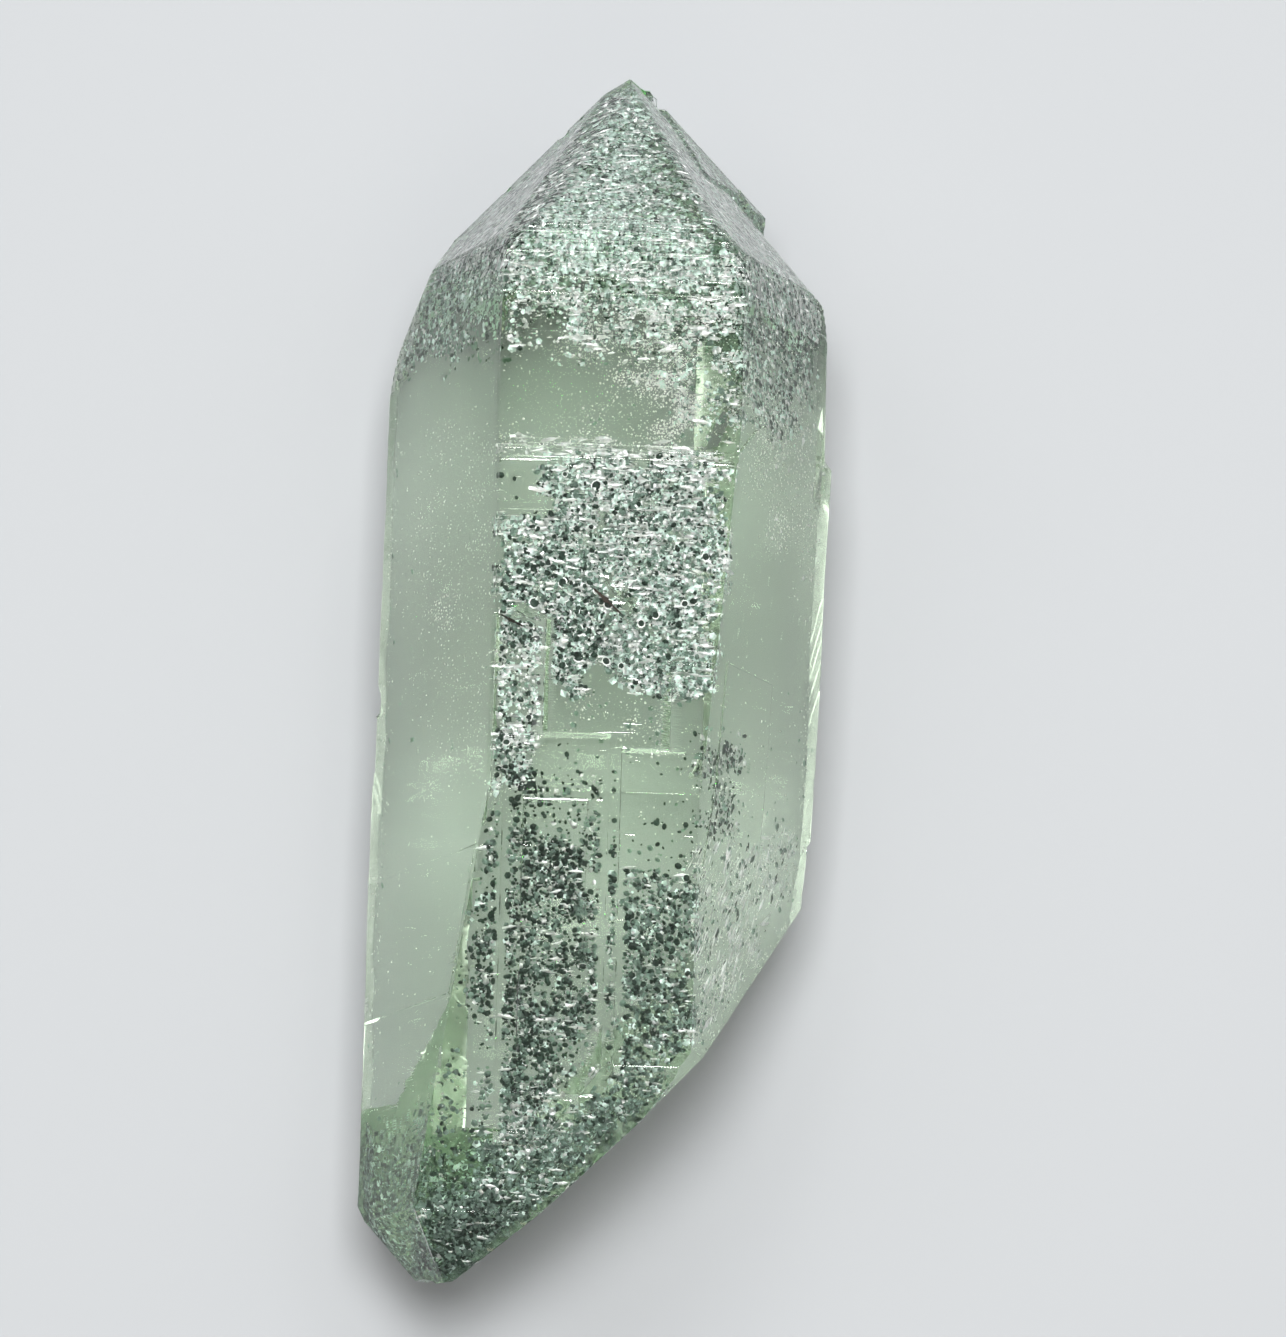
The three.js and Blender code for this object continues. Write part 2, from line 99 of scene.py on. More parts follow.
ZONES = (
    Zone("front", TIP_FRONT,
         {"mint": 60, "silver": 34, "green": 14, "dark": 3, "streak": 5}, soft=1.2, ragged=0.7),
    Zone("front", ((-3.9, 14.2), (4.6, 14.2), (4.8, 11.3), (-0.4, 11.6), (-3.9, 12.4)),
         {"silver": 12, "mint": 18, "green": 5, "dark": 1, "veil": 45, "streak": 6}, soft=1.8, ragged=1.0,
         clumped=0.6),
    Zone("front", ((-3.9, 12.6), (4.6, 12.6), (4.8, 9.6), (0.6, 9.9), (-3.9, 11.2)),
         {"silver": 10, "mint": 9, "green": 3, "dark": 0.6, "veil": 60, "streak": 5}, soft=2.2, ragged=1.2,
         clumped=0.7),
    Zone("front", TIP_LEFT,
         {"mint": 34, "silver": 30, "green": 10, "streak": 26, "sliver": 34}, soft=0.3, ragged=0.2, aim=46),
    Zone("front", ((-6.9, 15.6), (-4.2, 13.7), (-4.1, 12.2), (-4.9, 12.5), (-5.3, 11.0), (-6.4, 11.3),
          (-8.2, 11.4), (-8.3, 12.6), (-7.8, 14.3)),
         {"dark": 10, "green": 20, "mint": 14, "silver": 4}, soft=0.7, ragged=0.9),
    Zone("front", TIP_RIGHT,
         {"mint": 46, "silver": 26, "green": 12, "streak": 20, "sliver": 18}, soft=0.3, ragged=0.2, aim=-52),
    Zone("front", ((4.7, 12.5), (8.3, 13.2), (8.2, 10.7), (6.9, 8.4), (5.5, 7.8), (4.8, 10.1)),
         {"dark": 13, "silver": 20, "green": 16, "mint": 14}, soft=0.8, ragged=0.8),
    Zone("front", ((4.9, 8.5), (8.3, 11.2), (8.6, 4.1), (7.5, 3.2), (5.2, 5.5)),
         {"dust": 44, "silver": 2}, soft=1.2, ragged=1.0),
    Zone("front", ((-0.4, 11.1), (4.7, 11.3), (4.8, 6.9), (-1.8, 6.7), (-0.7, 8.7)),
         {"dust": 30, "green": 0.8}, soft=0.6, ragged=0.5),
    Zone("front", ((2.3, 11.2), (4.8, 11.4), (4.8, 6.8), (3.0, 6.8)),
         {"mint": 8, "green": 8, "dust": 14, "streak": 1.5}, soft=0.8, ragged=0.8, clumped=0.8),
    Zone("front", ((0.0, 9.5), (1.3, 9.6), (1.5, 8.6), (0.2, 8.6)),
         {"veil": 70}, soft=0.3, ragged=0.8, clumped=1.2),
    Zone("front", ((1.6, 9.0), (2.7, 8.8), (3.7, 6.7), (2.2, 7.2)),
         {"veil": 170}, soft=0.5, ragged=0.8, clumped=1.1),
    Zone("front", ((-4.1, 11.0), (4.7, 11.0), (4.7, 6.8), (-4.1, 6.8)), {"dust": 5}),
    Zone("front", ((-4.2, 6.95), (4.8, 6.35), (4.8, 5.9), (-4.2, 6.3)),
         {"veil": 50, "silver": 8, "streak": 14}, soft=0.15, ragged=0.15, clumped=0.6),
    Zone("front", DENSE,
         {"dark": 10, "silver": 30, "green": 38, "mint": 36, "rimmed": 0.4, "streak": 9}, soft=0.3,
         ragged=0.6, clumped=0.4),
    Zone("front", ((-1.0, 6.3), (4.7, 6.0), (4.6, 3.7), (4.4, 0.6), (1.4, 0.5), (-0.5, 2.0)),
         {"silver": 8, "mint": 8, "streak": 11}, soft=1.0, ragged=0.8),
    Zone("front", ((-4.1, 2.7), (-0.2, 2.0), (0.3, -1.1), (-0.8, -2.7), (-2.1, -1.6), (-3.9, -1.3)),
         {"dark": 20, "green": 12, "rimmed": 0.4}, soft=0.8, ragged=0.6, clumped=0.9),
    Zone("front", ((-3.9, 5.6), (-2.0, 5.6), (-1.9, 4.2), (-3.9, 4.2)), {"dark": 1.5, "streak": 3}, soft=0.5),
    Zone("front", ((-4.0, -0.5), (-2.2, -0.6), (-2.2, -3.5), (-2.7, -7.0), (-3.8, -7.0)),
         {"dark": 12, "silver": 26, "green": 12, "mint": 20, "rimmed": 0.4, "streak": 6}, soft=0.2,
         ragged=0.3, clumped=0.5),
    Zone("front", ((-3.2, -6.3), (-2.2, -6.4), (-2.3, -8.1), (-3.2, -7.9)),
         {"dark": 34}, soft=0.5, ragged=0.4),
    Zone("front", ((-2.0, -5.1), (0.1, -5.8), (0.5, -7.2), (0.6, -9.0), (-3.7, -9.1), (-3.6, -7.3)),
         {"dark": 9, "green": 6, "silver": 3}, soft=0.8, ragged=0.8, clumped=0.9),
    Zone("front", COLUMN_LEFT,
         {"dark": 40, "green": 28, "silver": 8, "mint": 8, "streak": 3}, soft=0.7, ragged=0.6, clumped=0.6),
    Zone("front", ((-4.4, -9.9), (-3.8, -9.9), (-3.9, -16.3), (-5.6, -16.7), (-5.2, -14.6), (-4.7, -12.0)),
         {"dark": 8, "green": 4}, soft=0.3, ragged=0.3, clumped=0.9),
    Zone("front", COLUMN_RIGHT,
         {"dark": 24, "green": 38, "mint": 12, "silver": 4, "streak": 3}, soft=0.6, ragged=0.5),
    Zone("front", ((0.8, -8.3), (3.9, -7.9), (4.0, -10.1), (0.8, -10.0)),
         {"dark": 4, "green": 3}, clumped=0.8),
    Zone("front", ((0.8, -5.4), (3.9, -5.3), (3.9, -8.3), (0.8, -8.3)), {"dark": 1, "dust": 4}, clumped=0.8),
    Zone("front", ((0.2, -10.9), (1.0, -10.8), (0.8, -16.6), (-0.3, -18.1), (0.2, -14.5)),
         {"green": 10, "silver": 10, "dust": 24, "streak": 4}),
    Zone("front", ((3.9, -4.9), (5.6, -4.1), (5.5, -8.4), (4.3, -8.8)),
         {"sliver": 5, "dark": 12, "green": 10, "silver": 8}, soft=0.8, ragged=0.6, clumped=1.0, aim=60),
    Zone("front", ((4.1, -8.9), (7.4, -7.1), (7.1, -10.2), (5.8, -14.1), (3.9, -16.4)),
         {"dust": 40, "streak": 11, "sliver": 2.5, "green": 4}, soft=1.0, ragged=0.8, aim=55),
    Zone("front", ((5.5, -4.3), (8.2, -1.4), (8.3, -7.6), (5.6, -8.3)), {"green": 1.0, "dust": 5}, soft=1.0),
    Zone("front", LOWER_POINT,
         {"green": 44, "dark": 9, "mint": 9, "silver": 3, "streak": 4}, soft=0.6, ragged=0.6),
    Zone("front", ((-5.6, -16.7), (-3.5, -17.2), (-4.2, -18.8), (-4.6, -21.2), (-6.4, -21.9), (-6.4, -20.0)),
         {"green": 9, "dark": 3, "dust": 10}, clumped=0.8),
    Zone("front", ((-3.3, -18.2), (-0.7, -18.4), (-1.0, -19.8), (-3.2, -20.3)),
         {"silver": 18, "mint": 14}, soft=0.6),
    Zone("front", ((-6.0, -21.6), (-3.5, -21.7), (-2.9, -25.0), (-6.5, -25.0)),
         {"dark": 46, "green": 46}, soft=0.5),
    Zone("front", ((-7.3, 8.6), (-4.5, 7.2), (-4.1, -7.4), (-6.3, -5.8), (-7.8, 2.0)),
         {"dust": 13}, soft=1.0),
    Zone("front", ((-6.6, 2.0), (-5.5, 1.3), (-5.6, 0.0), (-6.7, 0.8)), {"veil": 40}, soft=0.5, clumped=1.0),
    Zone("front", ((-5.2, 6.5), (-4.6, 6.5), (-4.7, 1.5), (-5.1, 1.5)), {"veil": 18}, soft=0.4, clumped=1.0),
    Zone("front", ((-2.1, -3.1), (0.7, -3.0), (0.8, -4.1), (-2.0, -4.4)), {"dust": 34, "green": 2}, soft=0.2),
    Zone("front", ((0.7, -3.3), (2.5, -3.3), (2.6, -5.0), (0.8, -5.2)), {"dust": 40, "green": 3}, soft=0.2),
    Zone("back", ((-9, 26), (9, 26), (9, 15.0), (-9, 15.0)),
         {"mint": 44, "silver": 14, "green": 10, "dark": 3}, soft=1.5, ragged=1.5),
    Zone("back", ((-9, 15.0), (9, 15.0), (9, 13.2), (-9, 13.2)),
         {"green": 5, "dark": 3, "dust": 5}, soft=1.5, ragged=1.5, clumped=1.0),
    Zone("back", ((-9, -18.5), (9, -17.0), (9, -26), (-9, -26)),
         {"green": 14, "dark": 8, "mint": 8}, soft=1.0, ragged=1.0),
    Zone("back", ((-9, 12), (9, 12), (9, -18), (-9, -18)), {"dust": 1.5, "green": 0.1}, soft=1.0),
)


class GrowthLine(NamedTuple):
    """A fine ledge across the front face: its level along the crystal, its two ends and its height, in mm."""

    level: float
    start: float
    end: float
    height: float = 0.006


GROWTH_LINES = (
    GrowthLine(15.77, -1.9, 1.4),
    GrowthLine(15.4, -2.0, -0.1),
    GrowthLine(14.8, -0.5, 3.3),
    GrowthLine(14.17, 1.0, 4.2, 0.008),
    GrowthLine(13.61, -3.1, -0.5),
    GrowthLine(12.25, -3.9, -3.0, 0.008),
    GrowthLine(12.09, -3.9, -3.0, 0.008),
    GrowthLine(11.83, -0.4, 4.5),
    GrowthLine(11.5, -4.0, -1.9),
    GrowthLine(11.03, -3.5, -0.4),
    GrowthLine(10.6, 1.9, 4.6),
    GrowthLine(9.98, -4.1, -2.6),
    GrowthLine(6.79, -4.2, 1.2, 0.008),
    GrowthLine(6.6, -4.1, 4.8, 0.009),
    GrowthLine(6.4, -3.0, 4.8, 0.009),
    GrowthLine(6.22, -1.0, 4.8, 0.009),
    GrowthLine(6.04, -3.9, 0.5, 0.008),
    GrowthLine(5.4, -4.0, -2.8),
    GrowthLine(5.18, 3.2, 4.8, 0.008),
    GrowthLine(4.86, -3.9, -1.7),
    GrowthLine(4.95, 3.2, 4.8),
    GrowthLine(4.55, 3.1, 4.7),
    GrowthLine(4.15, 3.0, 4.7),
    GrowthLine(3.92, -4.1, -1.6, 0.009),
    GrowthLine(3.64, -4.1, -2.6, 0.008),
    GrowthLine(-5.25, -2.0, 0.1, 0.004),
    GrowthLine(-5.19, 0.8, 4.1, 0.004),
    GrowthLine(-5.53, -2.0, -1.0, 0.004),
    GrowthLine(-5.74, -1.4, 0.1, 0.004),
    GrowthLine(-5.84, 0.8, 2.5, 0.004),
    GrowthLine(-5.91, -2.0, -1.0, 0.004),
    GrowthLine(-6.13, -2.0, 0.1, 0.004),
    GrowthLine(-6.78, -3.7, -2.8, 0.004),
    GrowthLine(-7.37, -3.8, -2.3, 0.002),
    GrowthLine(-7.66, 1.6, 2.8, 0.002),
    GrowthLine(-8.5, 0.9, 3.9, 0.002),
    GrowthLine(-9.01, -4.3, -2.2, 0.002),
    GrowthLine(-11.56, 0.2, 1.8, 0.002),
    GrowthLine(-12.4, -4.6, -3.6, 0.002),
    GrowthLine(-14.1, 3.2, 4.2, 0.002),
    GrowthLine(-17.96, -2.5, -1.0, 0.002),
)
RISER = 0.03 * MM
LINE_LENGTH = 1.4 * MM  # how far a ledge's height takes to die away below it
BROAD_TERRACE = 2.6  # length in mm, along the crystal, of the broad growth terraces
NARROW_TERRACE = 0.8  # length in mm of the narrow ones on top of them
HILLOCK = 0.9 * MM  # width of the hillocks on the faces of the two points
SMALL_HILLOCK = 0.4 * MM
LINED_PATCH = 2.2 * MM  # width of the patches in which the finest growth lines show
CREASE = 0.02 * MM  # how far on each side of a crease across the front its shading may reach
FRONT_RELIEF = 0.45  # height of the terraces on the smooth front faces, as a share of the other faces'


class Crack(NamedTuple):
    """A short open crack in the front face: its two ends, its width and its depth, in mm."""

    start: tuple
    end: tuple
    width: float
    deep: float


CRACKS = (
    Crack((-0.52, 1.04), (0.83, -0.16), 0.3, 0.4),
    Crack((-3.95, -0.16), (-2.75, -0.76), 0.22, 0.3),
)
CRACK_FACE = 0.21  # how far the face that the cracks open in lies under the crystal's highest level, in mm
CRACK_FILL = 0.8  # share of a crack's section that its stain fills
CRACK_STATIONS = 16  # parts that the stain in a crack is made of, end to end

BED_STEP = 0.2 * MM  # distance between the points of the sheets that carry the grains
DEPTH_WAVES = 900  # rises and dips of the grains' depth in a metre

FINE_LINE = MM / 7  # spacing of the finest growth lines, drawn a little coarser than they are
FINE_LINE_LENGTH = 10 * MM / 3
CLUMP_WIDTH = 2.5 * MM  # width over which the grains of one kind share a shade
# Cells of this width are a shade lighter or darker: partly a plate's own tone, partly painted glints of its
# facets
PLATE_TONE_AND_GLINT_WIDTH = 0.2 * MM  # width over which a plate has one shade
STAIN_SPOT = MM / 6  # width of a lighter spot in the iron stain

FLOOR_HALF = 0.6  # half of the board's width in metres
FLOOR_GAP = 0.03 * MM
SKY_STRENGTH = 0.17
SENSOR = 36.0  # height of the picture behind the lens, in mm
SHIFT_RIGHT = 1.596 * MM  # how far the middle of the picture lies to the right of the crystal's middle
SHIFT_DOWN = 0.261 * MM  # and how far below it


class Skin(NamedTuple):
    """How a kind of grain shines: its roughness, its share of pearl and how far its shade varies."""

    roughness: float
    pearl: float
    spread: float


DARK_SKIN = Skin(0.6, 0.0, 0.4)
GREEN_SKIN = Skin(0.5, 0.2, 0.4)
MINT_SKIN = Skin(0.45, 0.6, 0.3)
SILVER_SKIN = Skin(0.35, 0.85, 0.25)
DUST_SKIN = Skin(0.5, 0.3, 0.1)


class SoftBox(NamedTuple):
    """A square soft light: its place and its side in metres, its power in watts and its colour."""

    name: str
    place: tuple
    side: float
    power: float
    colour: str = "#FFFFFF"


SOFT_BOXES = (
    SoftBox("soft_box_over", (0.0, -0.006, 0.34), 0.115, 1.84),
    SoftBox("soft_box_left", (-0.17, 0.05, 0.27), 0.2, 0.23),
    SoftBox("soft_box_right", (0.18, 0.02, 0.26), 0.2, 0.17),
    SoftBox("soft_box_far", (0.02, 0.27, 0.26), 0.2, 0.7),
    SoftBox("soft_box_near", (0.03, -0.24, 0.24), 0.12, 0.12, "#FFF1DC"),
)


def linear(hex_colour):
    """An sRGB hex colour as linear red, green, blue and alpha."""
    parts = [int(hex_colour[place:place + 2], 16) / 255 for place in (1, 3, 5)]
    return [p / 12.92 if p <= 0.04045 else ((p + 0.055) / 1.055) ** 2.4 for p in parts] + [1.0]


def colour_property(name, description, hex_colour):
    """A colour that a user can change, with an sRGB hex default."""
    return bpy.props.FloatVectorProperty(
        name=name, description=description, default=linear(hex_colour), size=4, min=0, max=1, subtype="COLOR"
    )


def length_property(name, description, default_mm):
    """A length that a user can change, with its default in mm."""
    return bpy.props.FloatProperty(
        name=name, description=description, default=default_mm * MM, min=0, unit="LENGTH", precision=5
    )


class QuartzSettings(bpy.types.PropertyGroup):
    """Sizes and colour of the clear crystal."""

    tint: colour_property("Tint", "Colour that the quartz lets through", "#AAF47F")
    density: bpy.props.FloatProperty(
        name="Absorption", description="How fast the tint deepens, per metre", default=15.0, min=0
    )
    roughness: bpy.props.FloatProperty(
        name="Roughness", description="Roughness of the grown faces", default=0.02, min=0, max=1,
        subtype="FACTOR"
    )
    back_roughness: bpy.props.FloatProperty(
        name="Back roughness", description="Roughness of the etched faces turned down", default=0.16,
        min=0, max=1, subtype="FACTOR"
    )
    relief: length_property("Relief", "Height of one growth terrace on the prism faces", 0.006)
    skin: length_property("Skin", "How far the relief's base lies under the crystal's outer form", 0.06)
    ring_step: length_property("Ring step", "Distance between the rings of points along the crystal", 0.1)
    cell: length_property("Cell", "Distance between the lines of points along the crystal", 0.6)


class GrainSettings(bpy.types.PropertyGroup):
    """Sizes and colours of the chlorite grains."""

    width: length_property("Grain width", "Typical width of a chlorite grain", 0.2)
    dust_width: length_property("Dust width", "Typical width of a pale speck", 0.085)
    depth: length_property("Depth", "How far under the outer form the uppermost grains lie", 0.27)
    clearance: length_property("Clearance", "Least distance of the uppermost grains from any face", 0.17)
    layer: length_property("Layer", "Thickness of the layer of grains", 0.3)
    amount: bpy.props.FloatProperty(
        name="Amount", description="Share of the full number of grains", default=1.0, min=0
    )
    dark: colour_property("Dark", "Dark green grains", "#24382C")
    green: colour_property("Green", "Mid green grains", "#72897C")
    mint: colour_property("Mint", "Pale mint grains of the coated point", "#DCF0E6")
    silver: colour_property("Silver", "Silvery white flakes", "#F2F6F2")
    dust: colour_property("Dust", "Pale specks and veils", "#F4F5F1")


class StageSettings(bpy.types.PropertyGroup):
    """Floor, light and camera."""

    floor: colour_property("Floor", "Colour of the plain floor", "#949698")
    elevation: bpy.props.FloatProperty(
        name="Elevation", description="Height of the view over the floor", default=math.radians(75),
        unit="ROTATION"
    )
    roll: bpy.props.FloatProperty(
        name="Roll", description="Lean of the crystal in the picture", default=math.radians(1.7),
        unit="ROTATION"
    )
    frame_height: length_property("Frame height", "Height of what the picture shows at the crystal", 51.42)
    lens: bpy.props.FloatProperty(
        name="Lens", description="Focal length", default=180.0, min=1, unit="CAMERA"
    )
    light: bpy.props.FloatProperty(
        name="Light", description="Strength of the soft lights", default=1.0, min=0
    )


def add(tree, kind, inputs=None, **settings):
    """Adds one node, sets its properties, and sets or links its inputs by identifier or name."""
    node = tree.nodes.new(kind)
    for key, value in settings.items():
        setattr(node, key, value)
    for key, value in (inputs or {}).items():
        socket = next((s for s in node.inputs if s.identifier == key), None) or node.inputs[key]
        if isinstance(value, bpy.types.NodeSocket):
            tree.links.new(value, socket)
        else:
            socket.default_value = value
    return node


def new_material(name):
    """An empty node material and its tree."""
    material = bpy.data.materials.new(name)
    material.use_nodes = True
    material.node_tree.nodes.clear()
    return material, material.node_tree


def quartz_material(settings):
    """Clear quartz, grown faces: glassy, a little green in depth, its shine broken by fine growth lines."""
    material, tree = new_material("clear_quartz_grown")
    place = add(tree, "ShaderNodeTexCoord").outputs["Object"]
    lines = add(tree, "ShaderNodeMapping", {
        "Vector": place, "Scale": (1 / FINE_LINE_LENGTH, 1 / FINE_LINE, 1 / FINE_LINE_LENGTH),
    }).outputs["Vector"]
    fine = add(tree, "ShaderNodeTexNoise", {"Vector": lines, "Scale": 1.0, "Detail": 2.0}).outputs["Fac"]
    lined = add(tree, "ShaderNodeAttribute", attribute_name="lined").outputs["Fac"]
    height = maths(tree, "MULTIPLY", fine, lined)
    bump = add(tree, "ShaderNodeBump", {
        "Height": height, "Strength": 0.2, "Distance": 0.04 * MM,
    }).outputs["Normal"]
    back = add(tree, "ShaderNodeAttribute", attribute_name="back").outputs["Fac"]
    etched = add(tree, "ShaderNodeMapRange", {
        "Value": back, "To Min": settings.roughness, "To Max": settings.back_roughness,
    }).outputs["Result"]
    surface = add(tree, "ShaderNodeBsdfPrincipled", {
        "Base Color": (1, 1, 1, 1),
        "Roughness": etched,
        "IOR": 1.544,
        "Transmission Weight": 1.0,
        "Normal": bump,
    })
    volume = add(tree, "ShaderNodeVolumeAbsorption", {"Color": settings.tint, "Density": settings.density})
    add(tree, "ShaderNodeOutputMaterial", {
        "Surface": surface.outputs["BSDF"], "Volume": volume.outputs["Volume"],
    })
    return material


def grain_material(name, colour, skin):
    """Chlorite, grown as tiny soft plates: matt to pearly, each clump a shade lighter or darker, and small
    cells of each plate lighter or darker, partly their own tone and partly painted glints of their facets.
    """
    material, tree = new_material(name)
    place = add(tree, "ShaderNodeTexCoord").outputs["Object"]
    clumps = add(tree, "ShaderNodeTexNoise", {
        "Vector": place, "Scale": 1 / CLUMP_WIDTH, "Detail": 2.0,
    }).outputs["Fac"]
    # Small cells of one shade in the plates: partly the plates' own tone, partly painted glints of their
    # facets
    plates = add(tree, "ShaderNodeTexVoronoi", {"Vector": place, "Scale": 1 / PLATE_TONE_AND_GLINT_WIDTH}).outputs["Color"]
    tone_and_painted_glints = maths(tree, "ADD", maths(tree, "MULTIPLY", plates, 0.6), maths(tree, "MULTIPLY", clumps, 0.4))
    shade = add(tree, "ShaderNodeMapRange", {
        "Value": tone_and_painted_glints, "From Min": 0.3, "From Max": 0.7, "To Min": 1 - skin.spread,
        "To Max": 1 + skin.spread,
    }).outputs["Result"]
    tinted = add(tree, "ShaderNodeHueSaturation", {"Color": tuple(colour), "Value": shade}).outputs["Color"]
    surface = add(tree, "ShaderNodeBsdfPrincipled", {
        "Base Color": tinted, "Roughness": skin.roughness, "Metallic": skin.pearl,
    })
    add(tree, "ShaderNodeOutputMaterial", {"Surface": surface.outputs["BSDF"]})
    return material


def stain_material():
    """Limonite, the iron stain that gathers in open cracks: matt, blackish brown, lighter in spots."""
    material, tree = new_material("limonite_stain")
    place = add(tree, "ShaderNodeTexCoord").outputs["Object"]
    spots = add(tree, "ShaderNodeTexNoise", {
        "Vector": place, "Scale": 1 / STAIN_SPOT, "Detail": 2.0,
    }).outputs["Fac"]
    brown = add(tree, "ShaderNodeMix", {
        "Factor_Float": spots, "A_Color": linear("#110E0A"), "B_Color": linear("#2E241A"),
    }, data_type="RGBA").outputs[2]
    surface = add(tree, "ShaderNodeBsdfPrincipled", {"Base Color": brown, "Roughness": 0.9})
    add(tree, "ShaderNodeOutputMaterial", {"Surface": surface.outputs["BSDF"]})
    return material


def floor_material(colour):
    """Matt painted board: plain and pale, without a shine."""
    material, tree = new_material("matt_board")
    surface = add(tree, "ShaderNodeBsdfPrincipled", {"Base Color": tuple(colour), "Roughness": 0.9})
    add(tree, "ShaderNodeOutputMaterial", {"Surface": surface.outputs["BSDF"]})
    return material


def place_object(name, mesh, material=None):
    """A mesh object at the origin of the row frame."""
    piece = bpy.data.objects.new(name, mesh)
    bpy.context.scene.collection.objects.link(piece)
    if material:
        mesh.materials.clear()
        mesh.materials.append(material)
    return piece


def joined_crystal():
    """The CAD crystal's surface as one closed bmesh, its flat faces whole."""
    work = bmesh.new()
    work.from_mesh(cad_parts[CRYSTAL].data)
    bmesh.ops.remove_doubles(work, verts=work.verts, dist=0.0002 * MM)
    bmesh.ops.dissolve_limit(work, angle_limit=math.radians(0.15), verts=work.verts, edges=work.edges)
    return work


def sliced(work, axis, places):
    """Cuts the surface at each place along an axis, so that the relief has points to move."""
    direction = Vector((0, 0, 0))
    direction[axis] = 1
    ahead = work.verts[:] + work.edges[:] + work.faces[:]
    for place in places:
        cut = bmesh.ops.bisect_plane(
            work, geom=ahead, dist=0.002 * MM, plane_co=direction * place, plane_no=direction
        )
        ahead = [
            part for part in cut["geom"]
            if (part.co[axis] if isinstance(part, bmesh.types.BMVert)
                else max(v.co[axis] for v in part.verts)) > place - 0.001 * MM
        ]


def steps(low, high, step):
    """Even places between two ends, without the ends."""
    count = max(1, round((high - low) / step))
    return [low + (high - low) * k / count for k in range(1, count)]


def terraces(level):
    """A height that climbs in flat treads with short risers."""
    tread = math.floor(level)
    return tread + smooth(level - tread, 0.6, 1.0)


def growth_relief(point, turn):
    """Height of the growth terraces on a prism face, in steps: long across the crystal and short along it."""
    x, y, z = (c / MM for c in point)
    across = x * 0.25 + z * 0.1
    broad = noise.noise(Vector((across * 0.8, y / BROAD_TERRACE, turn)))
    narrow = noise.noise(Vector((across * 1.4, y / NARROW_TERRACE, turn + 7)))
    strength = smooth(noise.noise(Vector((across, y / 4, turn + 20))), -0.3, 0.4)
    return terraces(4 * broad) + strength * terraces(2.5 * narrow)


def smooth(value, low, high):
    """0 below low, 1 above high, and a smooth step between."""
    t = min(max((value - low) / (high - low), 0), 1)
    return t * t * (3 - 2 * t)


def point_relief(point):
    """Height of the shallow hillocks on the faces of the two points, in steps."""
    return 0.8 * noise.noise(point / HILLOCK) + 0.4 * noise.noise(point / SMALL_HILLOCK)


def line_height(point):
    """Height of the growth lines at a point of the front: each climbs at once and dies away downwards."""
    height = 0
    for line in GROWTH_LINES:
        below = MIDDLE + line.level * MM - point.y
        if -RISER < below < LINE_LENGTH and line.start * MM < point.x < line.end * MM:
            ends = min(point.x / MM - line.start, line.end - point.x / MM) / (line.end - line.start)
            height += line.height * MM * smooth(ends, 0, 0.15) * smooth(below, -RISER / 2, RISER / 2) * (
                1 - smooth(below, RISER, LINE_LENGTH))
    return height


def crease_levels(work):
    """Levels at which two of the upper faces meet in a crease straight across the crystal."""
    levels = set()
    for edge in work.edges:
        along = edge.verts[1].co - edge.verts[0].co
        straight = abs(along.y) < 0.01 * abs(along.x)
        if straight and min(face.normal.z for face in edge.link_faces) > 0.3:
            if edge.calc_face_angle(0) > math.radians(5):
                levels.add(round(edge.verts[0].co.y, 6))
    return levels


def quartz_mesh(settings):
    """The crystal's surface, sliced fine and given its growth relief."""
    work = joined_crystal()
    work.normal_update()
    creases = crease_levels(work)
    sliced(work, 0, steps(LOWEST.x, HIGHEST.x, settings.cell))
    sliced(work, 2, steps(LOWEST.z, HIGHEST.z, settings.cell))
    rings = steps(LOWEST.y, HIGHEST.y, settings.ring_step)
    rings += [MIDDLE + line.level * MM + side * RISER / 2 for line in GROWTH_LINES for side in (-1, 1)]
    rings += [level + side * CREASE for level in creases for side in (-1, 1)]
    sliced(work, 1, sorted(rings))
    work.normal_update()
    lined = work.verts.layers.float.new("lined")
    back = work.verts.layers.float.new("back")
    moves = {}
    for vertex in work.verts:
        normal = vertex.normal
        # 1 on the prism faces and 0 on the faces of the points
        prism = 1 - smooth(abs(normal.y), 0.2, 0.4)
        vertex[lined] = prism * smooth(noise.noise(vertex.co / LINED_PATCH), 0.0, 0.4)
        vertex[back] = smooth(-normal.z, -0.1, 0.1)
        # Each of the six prism faces has terraces of its own
        turn = 5 * round(math.atan2(normal.x, normal.z) / math.radians(60))
        growth = prism * growth_relief(vertex.co, turn) + (1 - prism) * point_relief(vertex.co)
        height = growth * settings.relief
        if normal.z > 0.7:  # the front faces, turned up
            height = height * FRONT_RELIEF + line_height(vertex.co)
        moves[vertex] = normal * (min(height, settings.skin) - settings.skin)
    for vertex, move in moves.items():
        vertex.co += move
    bmesh.ops.triangulate(work, faces=work.faces, quad_method="SHORT_EDGE")
    mesh = bpy.data.meshes.new("quartz_clear")
    work.to_mesh(mesh)
    work.free()
    mesh.set_sharp_from_angle(angle=math.radians(9))
    for polygon in mesh.polygons:
        polygon.use_smooth = True
    return mesh


